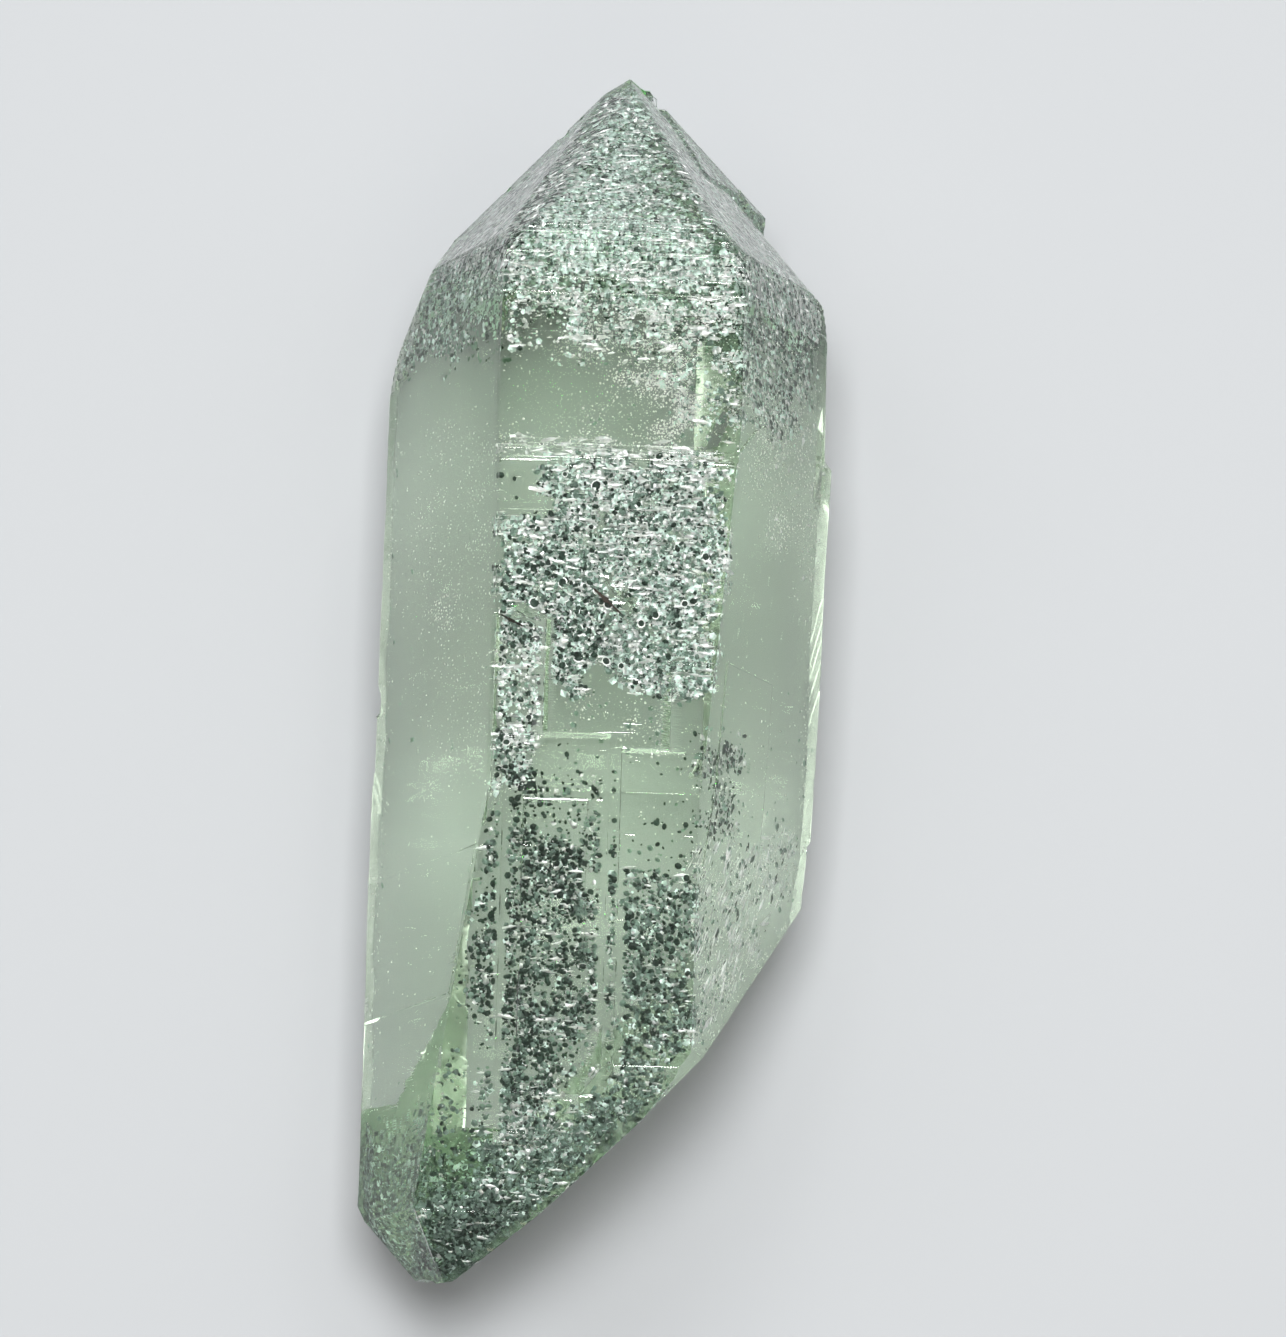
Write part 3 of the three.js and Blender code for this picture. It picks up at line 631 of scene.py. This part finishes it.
def stain_mesh():
    """The stain in each crack: a ragged closed wedge along it, with three edges that meet at its two ends."""
    points, faces = [], []
    for crack in CRACKS:
        start, end = Vector((*crack.start, 0)), Vector((*crack.end, 0))
        along = end - start
        across = Vector((-along.y, along.x, 0)).normalized()
        first = len(points)
        for k in range(CRACK_STATIONS + 1):
            share = k / CRACK_STATIONS
            rough = noise.noise(Vector((k * 0.7, first, 0.5)))
            room = CRACK_FILL * (1 - abs(2 * share - 1)) * (0.8 + 0.8 * rough)
            middle = start + along * share
            half = across * crack.width / 2 * room
            sunk = Vector((0, 0, crack.deep * room))
            points += [middle + half, middle - half, middle - sunk]
        for k in range(CRACK_STATIONS):
            a = first + 3 * k
            faces += [(a, a + 1, a + 4, a + 3), (a + 1, a + 2, a + 5, a + 4), (a + 2, a, a + 3, a + 5)]
    top = HIGHEST.z - CRACK_FACE * MM
    mesh = bpy.data.meshes.new("iron_stain")
    mesh.from_pydata([p * MM + Vector((0, MIDDLE, top)) for p in points], [], faces)
    work = bmesh.new()
    work.from_mesh(mesh)
    bmesh.ops.remove_doubles(work, verts=work.verts, dist=0.0005 * MM)
    bmesh.ops.recalc_face_normals(work, faces=work.faces)
    bmesh.ops.triangulate(work, faces=work.faces)
    work.to_mesh(mesh)
    work.free()
    return mesh


def signed_distance(x, y, outline):
    """Distance inside (positive) or outside (negative) an outline, for arrays of points, in mm."""
    inside = np.zeros(x.shape, bool)
    nearest = np.full(x.shape, 1e9)
    for (ax, ay), (bx, by) in zip(outline, outline[1:] + outline[:1]):
        ex, ey = bx - ax, by - ay
        t = np.clip(((x - ax) * ex + (y - ay) * ey) / (ex * ex + ey * ey), 0, 1)
        nearest = np.minimum(nearest, np.hypot(x - ax - t * ex, y - ay - t * ey))
        crosses = (ay > y) != (by > y)
        at = ax + (y - ay) * ex / (ey if ey else 1e-9)
        inside ^= crosses & (x < at)
    return np.where(inside, nearest, -nearest)


def noise_field(x, y, period, seed):
    """Smooth noise from -1 to 1 for arrays of points, with a period in mm."""
    values = [noise.noise(Vector((a / period, b / period, seed))) for a, b in zip(x, y)]
    return np.clip(np.array(values) * 1.6, -1, 1)


def grain_densities(x, y, side):
    """Grains of each kind per square mm at each point of a bed."""
    edge_noise = noise_field(x, y, period=1.1, seed=3.7) * 0.7
    edge_noise += noise_field(x, y, period=0.35, seed=9.1) * 0.3
    clump_noise = noise_field(x, y, period=0.8, seed=21.3)
    found = {kind: np.zeros(x.shape) for kind in KINDS}
    aims = np.zeros(x.shape)
    for zone in ZONES:
        if zone.side != side:
            continue
        reach = signed_distance(x, y, zone.outline) + zone.ragged * edge_noise
        t = np.clip(reach / zone.soft + 0.5, 0, 1)
        share = t * t * (3 - 2 * t) * np.clip(1 + zone.clumped * 1.6 * clump_noise, 0, None)
        for kind, count in zone.grains.items():
            found[kind] += share * count
        if zone.aim:
            aims = np.where(reach > 0, math.radians(zone.aim), aims)
    return found, aims


def bed(settings):
    """Two sheets a little under the upper and the lower skin, with the grain densities on their points."""
    work = joined_crystal()
    bmesh.ops.triangulate(work, faces=work.faces)
    tree = BVHTree.FromBMesh(work)
    work.free()
    columns = [LOWEST.x + BED_STEP * (k + 0.5) for k in range(int((HIGHEST.x - LOWEST.x) / BED_STEP))]
    rows = [LOWEST.y + BED_STEP * (k + 0.5) for k in range(int((HIGHEST.y - LOWEST.y) / BED_STEP))]
    points, normals, faces, aims, densities = [], [], [], [], {kind: [] for kind in KINDS}
    for side, up in (("front", 1), ("back", -1)):
        index, hits = {}, []
        for j, y in enumerate(rows):
            for i, x in enumerate(columns):
                start = Vector((x, y, HIGHEST.z + MM if up > 0 else LOWEST.z - MM))
                hit, normal, face, length = tree.ray_cast(start, Vector((0, 0, -up)))
                # A face that hardly turns to this side carries no sheet
                if hit is None or normal.z * up < 0.2:
                    continue
                depth = settings.depth * (1 + 0.3 * noise.noise(Vector((x, y, up)) * DEPTH_WAVES))
                point = hit - normal * depth
                near, near_normal, face, length = tree.find_nearest(point)
                if length < settings.clearance or (near - point).dot(near_normal) < 0:
                    continue
                index[i, j] = len(points)
                points.append(point)
                normals.append(normal)
                hits.append(hit)
        for (i, j), corner in index.items():
            ring = [corner] + [index.get(at) for at in ((i + 1, j), (i + 1, j + 1), (i, j + 1))]
            if None in ring:
                continue
            a, b, c, d = (points[k] for k in ring)
            # No face of the sheet bridges an edge of the crystal
            turned = (c - a).cross(d - b).normalized() * up
            if min(turned.dot(normals[k]) for k in ring) > 0.75:
                faces.append(ring if up > 0 else ring[::-1])
        x = np.array([hit.x for hit in hits]) / MM
        y = np.array([hit.y - MIDDLE for hit in hits]) / MM
        found, directions = grain_densities(x, y, side)
        aims.append(directions)
        for kind, counts in found.items():
            densities[kind].append(counts)
    mesh = bpy.data.meshes.new("growth_surface")
    mesh.from_pydata(points, [], faces)
    for kind, parts in densities.items():
        layer = mesh.attributes.new(kind, "FLOAT", "POINT")
        layer.data.foreach_set("value", (np.concatenate(parts) * PER_SQUARE_MM).astype(np.float32))
    angles = np.concatenate(aims)
    vectors = np.stack((np.cos(angles), np.sin(angles), np.zeros(angles.shape)), axis=1)
    layer = mesh.attributes.new("aim", "FLOAT_VECTOR", "POINT")
    layer.data.foreach_set("vector", vectors.ravel().astype(np.float32))
    return mesh


def plate(tree, sides):
    """One closed plate, a low double pyramid one unit in radius, as an instance."""
    upper = add(tree, "GeometryNodeMeshCone", {"Vertices": sides, "Radius Bottom": 1.0, "Depth": 1.0},
                fill_type="NONE").outputs["Mesh"]
    mirrored = add(tree, "GeometryNodeTransform", {
        "Geometry": upper, "Scale": (1.0, 1.0, -1.0),
    }).outputs["Geometry"]
    lower = add(tree, "GeometryNodeFlipFaces", {"Mesh": mirrored}).outputs["Mesh"]
    both = add(tree, "GeometryNodeJoinGeometry")
    tree.links.new(upper, both.inputs["Geometry"])
    tree.links.new(lower, both.inputs["Geometry"])
    whole = add(tree, "GeometryNodeMergeByDistance", {
        "Geometry": both.outputs["Geometry"], "Distance": 0.001,
    })
    single = add(tree, "GeometryNodeGeometryToInstance", {"Geometry": whole.outputs["Geometry"]})
    return single.outputs["Instances"]


def maths(tree, operation, first, second):
    """The result of one sum on two fields or numbers."""
    return add(tree, "ShaderNodeMath", {0: first, 1: second}, operation=operation).outputs["Value"]


def grain_tree():
    """Geometry Nodes: thin many-sided plates strewn over a bed, as thick as a named density says."""
    tree = bpy.data.node_groups.new("strewn_grains", "GeometryNodeTree")
    tree.interface.new_socket("Grains", in_out="OUTPUT", socket_type="NodeSocketGeometry")
    sockets = {}
    for name, kind in (
        ("Bed", "Geometry"), ("Density name", "String"), ("Amount", "Float"), ("Width", "Float"),
        ("Thickness share", "Float"), ("Layer", "Float"), ("Sink", "Float"), ("Tilt", "Float"),
        ("Spin", "Float"), ("Smallest", "Float"), ("Largest", "Float"), ("Slimmest", "Float"),
        ("Roundest", "Float"), ("Sides", "Int"), ("Material", "Material"), ("Seed", "Int"),
    ):
        socket = tree.interface.new_socket(name, in_out="INPUT", socket_type="NodeSocket" + kind)
        sockets[name] = socket.identifier
    given = add(tree, "NodeGroupInput").outputs

    # Points on the bed, as close together as the density says
    density = add(tree, "GeometryNodeInputNamedAttribute", {"Name": given["Density name"]}, data_type="FLOAT")
    wanted = maths(tree, "MULTIPLY", density.outputs["Attribute"], given["Amount"])
    strewn = add(tree, "GeometryNodeDistributePointsOnFaces", {
        "Mesh": given["Bed"], "Density": wanted, "Seed": given["Seed"],
    }, distribute_method="RANDOM")

    # Each point sinks into the layer under the bed
    sunk = add(tree, "FunctionNodeRandomValue", {
        "Max_001": given["Layer"], "Seed": 1,
    }, data_type="FLOAT").outputs[1]
    down = maths(tree, "MULTIPLY", maths(tree, "ADD", sunk, given["Sink"]), -1.0)
    drop = add(tree, "ShaderNodeVectorMath", {0: strewn.outputs["Normal"], "Scale": down}, operation="SCALE")
    placed = add(tree, "GeometryNodeSetPosition", {
        "Geometry": strewn.outputs["Points"], "Offset": drop.outputs["Vector"],
    }).outputs["Geometry"]

    # Each plate lies along the bed and its aim, tilted and spun a little by chance
    high = add(tree, "ShaderNodeCombineXYZ", {"X": given["Tilt"], "Y": given["Tilt"], "Z": given["Spin"]})
    low = add(tree, "ShaderNodeVectorMath", {0: high.outputs["Vector"], "Scale": -1.0}, operation="SCALE")
    turn = add(tree, "FunctionNodeRandomValue", {
        "Min": low.outputs["Vector"], "Max": high.outputs["Vector"], "Seed": 2,
    }, data_type="FLOAT_VECTOR")
    spin = add(tree, "FunctionNodeEulerToRotation", {"Euler": turn.outputs[0]}).outputs["Rotation"]
    aim = add(tree, "GeometryNodeInputNamedAttribute", {"Name": "aim"}, data_type="FLOAT_VECTOR")
    aimed = add(tree, "FunctionNodeAlignRotationToVector", {
        "Rotation": strewn.outputs["Rotation"], "Vector": aim.outputs["Attribute"],
    }, axis="X", pivot_axis="Z").outputs["Rotation"]
    rotation = add(tree, "FunctionNodeRotateRotation", {
        "Rotation": aimed, "Rotate By": spin,
    }, rotation_space="LOCAL").outputs["Rotation"]

    # Many small plates and few large ones, some slimmer than others
    chance = add(tree, "FunctionNodeRandomValue", {"Seed": 3}, data_type="FLOAT").outputs[1]
    share = maths(tree, "POWER", chance, 2.0)
    spread = add(tree, "ShaderNodeMapRange", {
        "Value": share, "To Min": given["Smallest"], "To Max": given["Largest"],
    }).outputs["Result"]
    radius = maths(tree, "MULTIPLY", maths(tree, "MULTIPLY", spread, given["Width"]), 0.5)
    slim = add(tree, "FunctionNodeRandomValue", {
        "Min_001": given["Slimmest"], "Max_001": given["Roundest"], "Seed": 4,
    }, data_type="FLOAT")
    narrow = maths(tree, "MULTIPLY", radius, slim.outputs[1])
    thin = maths(tree, "MULTIPLY", radius, given["Thickness share"])
    size = add(tree, "ShaderNodeCombineXYZ", {"X": radius, "Y": narrow, "Z": thin}).outputs["Vector"]

    # Two forms of plate, one with a side more than the other, picked by chance
    plates = add(tree, "GeometryNodeJoinGeometry")
    tree.links.new(plate(tree, given["Sides"]), plates.inputs["Geometry"])
    tree.links.new(plate(tree, maths(tree, "ADD", given["Sides"], 1.0)), plates.inputs["Geometry"])
    pick = add(tree, "FunctionNodeRandomValue", {
        "Min_002": 0, "Max_002": 1, "Seed": 5,
    }, data_type="INT").outputs[2]
    grains = add(tree, "GeometryNodeInstanceOnPoints", {
        "Points": placed, "Instance": plates.outputs["Geometry"], "Pick Instance": True,
        "Instance Index": pick, "Rotation": rotation, "Scale": size,
    }).outputs["Instances"]
    real = add(tree, "GeometryNodeRealizeInstances", {"Geometry": grains}).outputs["Geometry"]
    finished = add(tree, "GeometryNodeSetMaterial", {"Geometry": real, "Material": given["Material"]})
    add(tree, "NodeGroupOutput", {"Grains": finished.outputs["Geometry"]})
    return tree, sockets


def strew(name, bed_mesh, material, values):
    """Runs the grain tree over the bed and returns its plates as one plain mesh piece."""
    tree, sockets = grain_tree()
    carrier = place_object(name + "_bed", bed_mesh.copy())
    modifier = carrier.modifiers.new("Grains", "NODES")
    modifier.node_group = tree
    for key, value in values.items():
        modifier[sockets[key]] = value
    modifier[sockets["Material"]] = material
    evaluated = carrier.evaluated_get(bpy.context.evaluated_depsgraph_get())
    mesh = bpy.data.meshes.new_from_object(evaluated)
    mesh.name = name
    for attribute in [a.name for a in mesh.attributes if a.name in (*KINDS, "aim")]:
        mesh.attributes.remove(mesh.attributes[attribute])
    carrier.modifiers.remove(modifier)
    bpy.data.objects.remove(carrier)
    bpy.data.node_groups.remove(tree)
    piece = place_object(name, mesh)
    print(name, len(mesh.polygons), "faces")
    return piece


class PHANTOM_OT_crystal(bpy.types.Operator):
    """Makes the clear crystal with its growth relief, in place of the CAD crystal."""

    bl_idname = "phantom.crystal"
    bl_label = "Clear crystal"

    def execute(self, context):
        settings = context.scene.phantom_quartz
        piece = place_object("quartz_clear", quartz_mesh(settings), quartz_material(settings))
        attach(piece, BODY)
        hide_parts(CRYSTAL)
        return {"FINISHED"}


class PHANTOM_OT_stain(bpy.types.Operator):
    """Makes the iron stain in the short cracks of the front face."""

    bl_idname = "phantom.stain"
    bl_label = "Iron stain"

    def execute(self, context):
        piece = place_object("iron_stain", stain_mesh(), stain_material())
        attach(piece, BODY)
        return {"FINISHED"}


class PHANTOM_OT_grains(bpy.types.Operator):
    """Strews the chlorite grains, flakes and specks on the growth surfaces inside the crystal."""

    bl_idname = "phantom.grains"
    bl_label = "Chlorite grains"

    def execute(self, context):
        settings = context.scene.phantom_grains
        bed_mesh = bed(settings)
        width, layer = settings.width, settings.layer
        shared = {"Amount": settings.amount, "Layer": layer, "Sink": 0.0, "Tilt": 0.5, "Spin": math.pi,
                  "Sides": 5, "Smallest": 0.45, "Largest": 1.6, "Slimmest": 0.55, "Roundest": 1.0}
        # Piece, kind, colour, skin, seed, and the values in which it differs from the shared ones
        kinds = (
            ("chlorite_dark", "dark", settings.dark, DARK_SKIN, 0,
             {"Width": width, "Thickness share": 0.5, "Sides": 6}),
            ("chlorite_green", "green", settings.green, GREEN_SKIN, 1,
             {"Width": width, "Thickness share": 0.4}),
            ("chlorite_mint", "mint", settings.mint, MINT_SKIN, 2,
             {"Width": width * 1.2, "Thickness share": 0.2, "Sink": layer * 0.3, "Tilt": 0.35, "Sides": 4}),
            ("chlorite_silver", "silver", settings.silver, SILVER_SKIN, 3,
             {"Width": width, "Thickness share": 0.25, "Sides": 4}),
            ("chlorite_dust", "dust", settings.dust, DUST_SKIN, 4,
             {"Width": settings.dust_width, "Thickness share": 0.6, "Tilt": 1.0, "Sides": 4}),
            ("chlorite_veil", "veil", settings.dust, DUST_SKIN, 5,
             {"Width": settings.dust_width, "Thickness share": 0.4, "Layer": layer * 0.5, "Tilt": 1.0,
              "Sides": 4}),
            ("chlorite_disc", "rimmed", settings.dark, DARK_SKIN, 6,
             {"Width": width * 1.2, "Thickness share": 0.3, "Layer": layer * 0.3, "Tilt": 0.15, "Sides": 8,
              "Slimmest": 0.8}),
            ("chlorite_rim", "rimmed", settings.silver, SILVER_SKIN, 6,
             {"Width": width * 1.55, "Thickness share": 0.12, "Layer": layer * 0.3, "Sink": width * 0.22,
              "Tilt": 0.15, "Sides": 8, "Slimmest": 0.8}),
            ("chlorite_streak", "streak", settings.silver, SILVER_SKIN, 7,
             {"Width": width * 2.6, "Thickness share": 0.08, "Tilt": 0.2, "Spin": 0.2, "Slimmest": 0.12,
              "Roundest": 0.3, "Sides": 4}),
            ("chlorite_sliver", "sliver", settings.dark, DARK_SKIN, 8,
             {"Width": width * 1.6, "Thickness share": 0.15, "Tilt": 0.2, "Spin": 0.3, "Slimmest": 0.25,
              "Roundest": 0.45, "Sides": 4}),
        )
        for name, kind, colour, skin, seed, values in kinds:
            material = grain_material(name, colour, skin)
            values = {**shared, "Density name": kind, "Seed": seed, **values}
            piece = strew(name, bed_mesh, material, values)
            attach(piece, BODY)
        bpy.data.meshes.remove(bed_mesh)
        return {"FINISHED"}


class PHANTOM_OT_stage(bpy.types.Operator):
    """Makes the plain floor, the soft lights and the camera."""

    bl_idname = "phantom.stage"
    bl_label = "Floor, light and camera"

    def execute(self, context):
        settings = context.scene.phantom_stage
        scene = context.scene
        build_floor(settings)
        build_lights(scene, settings)
        build_camera(scene, settings)
        return {"FINISHED"}


def build_floor(settings):
    """A wide plain board just under the crystal."""
    half, level = FLOOR_HALF, LOWEST.z - FLOOR_GAP
    mesh = bpy.data.meshes.new("floor")
    corners = [(-half, -half, level), (half, -half, level), (half, half, level), (-half, half, level)]
    mesh.from_pydata(corners, [], [(0, 1, 2, 3)])
    place_object("floor", mesh, floor_material(settings.floor))


def soft_light(box, strength):
    """One square soft light that points at the crystal."""
    data = bpy.data.lights.new(box.name, "AREA")
    data.shape = "SQUARE"
    data.size = box.side
    data.energy = box.power * strength
    data.color = linear(box.colour)[:3]
    light = bpy.data.objects.new(box.name, data)
    light.location = box.place
    aim = Vector((0, 0, (LOWEST.z + HIGHEST.z) / 2)) - Vector(box.place)
    light.rotation_euler = aim.to_track_quat("-Z", "Y").to_euler()
    bpy.context.scene.collection.objects.link(light)


def build_lights(scene, settings):
    """A soft box overhead, weaker ones all round, and an even pale sky."""
    for box in SOFT_BOXES:
        soft_light(box, settings.light)
    world = bpy.data.worlds.new("pale_sky")
    world.use_nodes = True
    world.node_tree.nodes.clear()
    sky = add(world.node_tree, "ShaderNodeBackground", {
        "Color": linear("#E6E9EA"), "Strength": SKY_STRENGTH * settings.light,
    })
    add(world.node_tree, "ShaderNodeOutputWorld", {"Surface": sky.outputs["Background"]})
    scene.world = world


def build_camera(scene, settings):
    """A long lens at the height and lean of the picture, with the crystal where the picture has it."""
    away = Vector((0, -math.cos(settings.elevation), math.sin(settings.elevation)))
    level = Vector((1, 0, 0))
    over = away.cross(level)
    right = level * math.cos(settings.roll) + over * math.sin(settings.roll)
    top = over * math.cos(settings.roll) - level * math.sin(settings.roll)
    distance = settings.lens * settings.frame_height / SENSOR
    middle = Vector((0, MIDDLE, (LOWEST.z + HIGHEST.z) / 2))
    place = middle + away * distance + right * SHIFT_RIGHT - top * SHIFT_DOWN
    data = bpy.data.cameras.new("camera")
    data.lens = settings.lens
    data.sensor_fit = "VERTICAL"
    data.sensor_height = SENSOR
    data.clip_start = 0.01
    data.clip_end = 5
    camera = bpy.data.objects.new("camera", data)
    turn = Matrix((right, top, away)).transposed()
    camera.matrix_world = Matrix.Translation(place) @ turn.to_4x4()
    scene.collection.objects.link(camera)
    scene.camera = camera
    scene.view_settings.view_transform = "Standard"
    scene.cycles.max_bounces = 20
    scene.cycles.transmission_bounces = 20
    scene.cycles.diffuse_bounces = 4
    scene.cycles.glossy_bounces = 8


class PHANTOM_PT_panel(bpy.types.Panel):
    """Lists the steps that make the crystal."""

    bl_idname = "PHANTOM_PT_panel"
    bl_label = "Phantom quartz"
    bl_space_type = "VIEW_3D"
    bl_region_type = "UI"
    bl_category = "Phantom quartz"

    def draw(self, context):
        for settings, operator in (
            (context.scene.phantom_quartz, PHANTOM_OT_crystal),
            (context.scene.phantom_grains, PHANTOM_OT_grains),
            (None, PHANTOM_OT_stain),
            (context.scene.phantom_stage, PHANTOM_OT_stage),
        ):
            box = self.layout.box()
            box.operator(operator.bl_idname)
            for key in settings.__annotations__ if settings else ():
                box.prop(settings, key)


SETTINGS = {
    "phantom_quartz": QuartzSettings,
    "phantom_grains": GrainSettings,
    "phantom_stage": StageSettings,
}
OPERATORS = (PHANTOM_OT_crystal, PHANTOM_OT_grains, PHANTOM_OT_stain, PHANTOM_OT_stage)
CLASSES = (*SETTINGS.values(), *OPERATORS, PHANTOM_PT_panel)


def register():
    """Makes the settings, the operators and the panel known."""
    for entry in CLASSES:
        bpy.utils.register_class(entry)
    for name, group in SETTINGS.items():
        setattr(bpy.types.Scene, name, bpy.props.PointerProperty(type=group))


def unregister():
    """Takes the settings, the operators and the panel back."""
    for name in SETTINGS:
        delattr(bpy.types.Scene, name)
    for entry in reversed(CLASSES):
        bpy.utils.unregister_class(entry)


def main():
    """Makes the stage and every piece."""
    register()
    bpy.ops.phantom.stage()
    bpy.ops.phantom.crystal()
    bpy.ops.phantom.grains()
    bpy.ops.phantom.stain()


if __name__ == "__main__":
    main()
